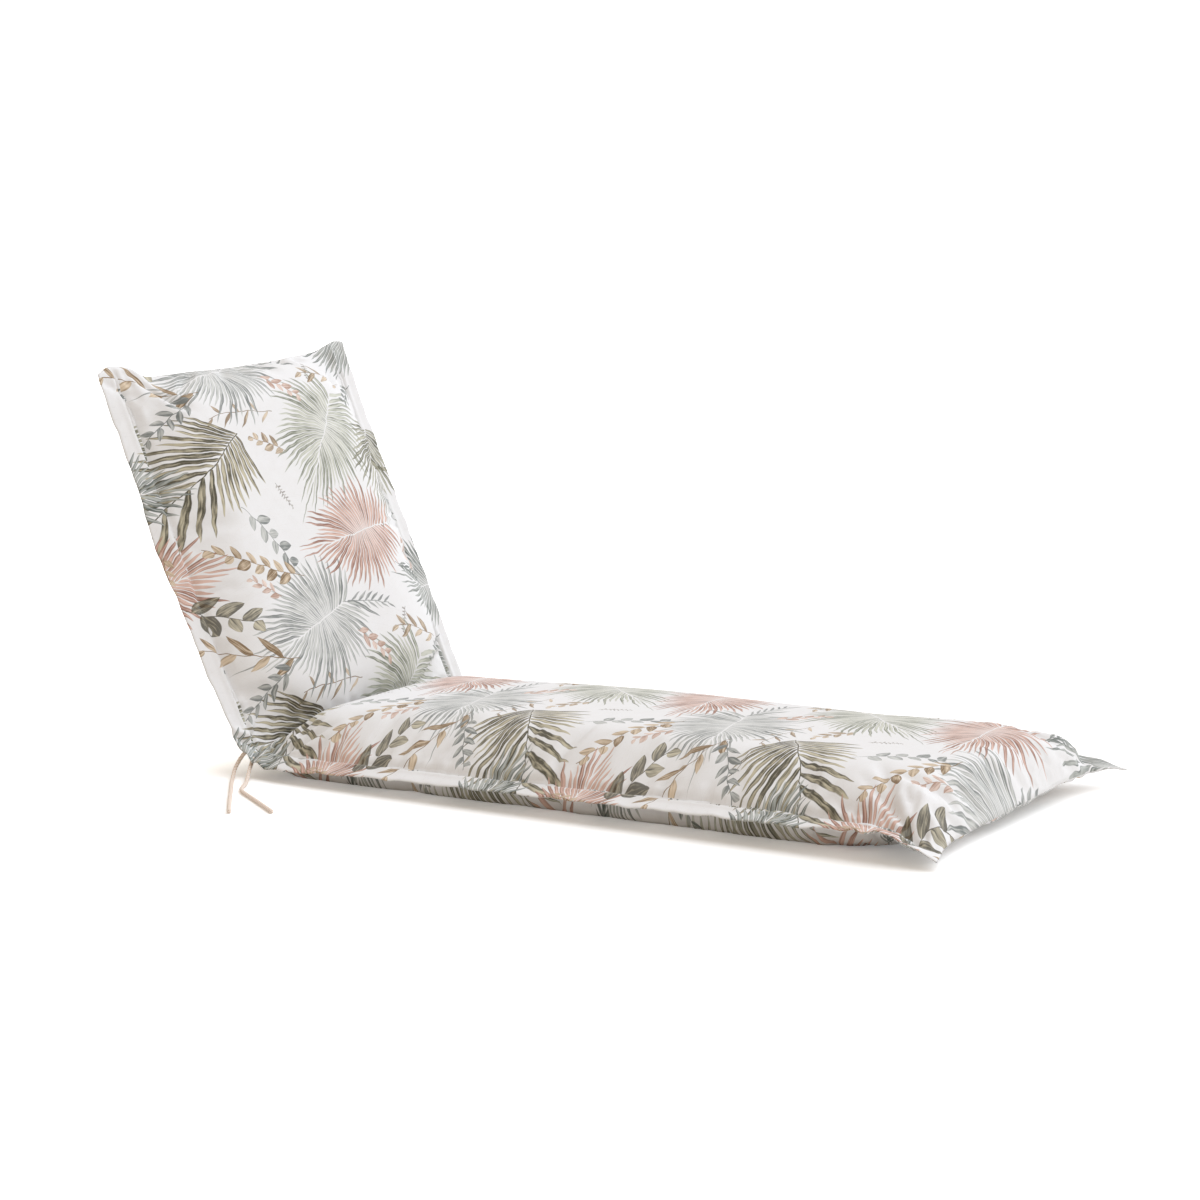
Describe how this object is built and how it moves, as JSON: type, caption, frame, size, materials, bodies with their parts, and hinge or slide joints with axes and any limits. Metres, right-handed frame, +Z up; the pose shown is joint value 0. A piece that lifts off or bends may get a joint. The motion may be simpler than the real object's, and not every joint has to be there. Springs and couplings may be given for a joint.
{
  "type": "sun lounger cushion",
  "caption": "Long filled lounger cushion with a sewn cross fold, backrest raised, flat stitched side flanges, pointed corners and loose cord tie.",
  "frame": {"origin": "on the ground, under the middle of the cushion's box", "axes": "+X towards the foot end, +Y towards the far long side, +Z up; the backrest stands at the -X end"},
  "size_m": [1.3976, 0.717, 0.619],
  "materials": {
    "cover": "matt plain-weave cotton, cream with a printed leaf pattern",
    "cord": "matt ecru cotton cord"
  },
  "bodies": {
    "root": {"cushion": "cover", "tie_left": "cord", "tie_right": "cord"}
  },
  "joints": []
}
